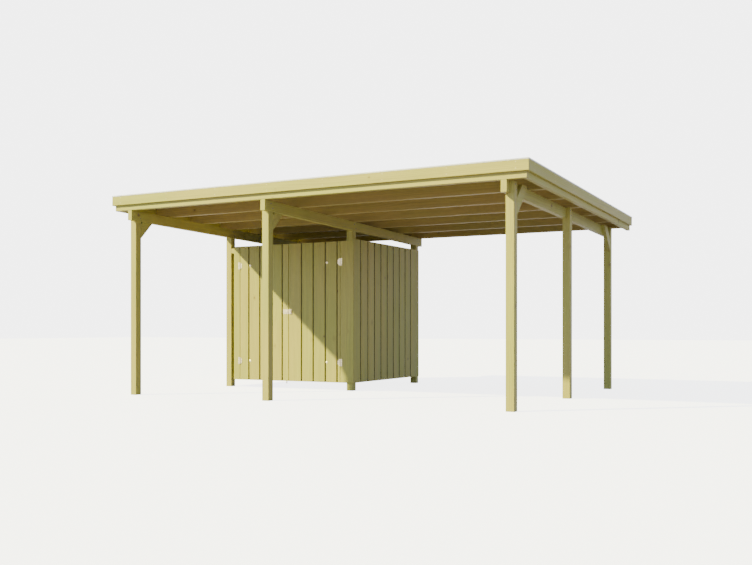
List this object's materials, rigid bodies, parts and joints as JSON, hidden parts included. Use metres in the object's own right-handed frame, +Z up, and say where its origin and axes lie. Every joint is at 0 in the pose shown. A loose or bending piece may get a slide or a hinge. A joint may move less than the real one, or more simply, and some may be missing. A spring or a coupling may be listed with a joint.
{
  "type": "carport",
  "caption": "Open timber-framed carport under one low-pitched roof, with a boarded storage room behind one bay and a double-leaf door.",
  "frame": {"origin": "on the ground at the middle of the roof's outline", "axes": "+X to the right along the front, +Y from the front to the back, +Z up"},
  "size_m": [5.349, 4.4045, 2.4515],
  "materials": {
    "frame_timber": "planed pressure-treated pine, satin",
    "fascia_boards": "planed pressure-treated pine, satin",
    "wall_boards": "planed pressure-treated pine boards, satin",
    "inner_timber": "planed pine, satin",
    "roof_deck": "raw board, matte",
    "roof_felt": "mineral felt, matte",
    "edge_trim": "plain sheet, satin",
    "zinc_fittings": "zinc plated, satin"
  },
  "bodies": {
    "frame": {"beam_left": "frame_timber", "beam_middle": "frame_timber", "beam_right": "frame_timber", "brace_left_front": "frame_timber", "brace_middle_front": "frame_timber", "brace_right_front": "frame_timber", "brace_right_rear": "frame_timber", "door_header": "inner_timber", "door_jamb_left": "inner_timber", "door_jamb_right": "inner_timber", "edge_trim": "edge_trim", "fascia_front": "fascia_boards", "fascia_left": "fascia_boards", "fascia_rear": "fascia_boards", "fascia_right": "fascia_boards", "hinge_fixed_left": "zinc_fittings", "hinge_fixed_right": "zinc_fittings", "post_left_centre": "frame_timber", "post_left_front": "frame_timber", "post_left_rear": "frame_timber", "post_middle_centre": "frame_timber", "post_middle_front": "frame_timber", "post_middle_rear": "frame_timber", "post_right_centre": "frame_timber", "post_right_front": "frame_timber", "post_right_rear": "frame_timber", "rafter_1": "frame_timber", "rafter_2": "frame_timber", "rafter_3": "frame_timber", "rafter_4": "frame_timber", "rafter_5": "frame_timber", "rafter_6": "frame_timber", "rim_front": "frame_timber", "rim_left": "frame_timber", "rim_right": "frame_timber", "roof_deck": "roof_deck", "roof_felt": "roof_felt", "wall_front_left": "wall_boards", "wall_front_right": "wall_boards", "wall_left": "wall_boards", "wall_rear": "wall_boards", "wall_right": "wall_boards"},
    "left_door": {"door_latch": "zinc_fittings", "door_leaf_left": "wall_boards", "door_ledges_left": "inner_timber", "drop_bolt": "zinc_fittings", "hinge_moving_left": "zinc_fittings", "ledge_bolts_left": "zinc_fittings"},
    "right_door": {"door_leaf_right": "wall_boards", "door_ledges_right": "inner_timber", "hinge_moving_right": "zinc_fittings", "latch_keeper": "zinc_fittings", "ledge_bolts_right": "zinc_fittings"}
  },
  "joints": [
    {"name": "left_door_hinge", "type": "hinge", "parent": "frame", "child": "left_door", "pos_m": [-2.2285, -0.1935, 1.033], "axis": [0, 0, -1], "range_deg": [0, 165]},
    {"name": "right_door_hinge", "type": "hinge", "parent": "frame", "child": "right_door", "pos_m": [-0.5985, -0.1935, 1.033], "axis": [0, 0, 1], "range_deg": [0, 165]}
  ]
}
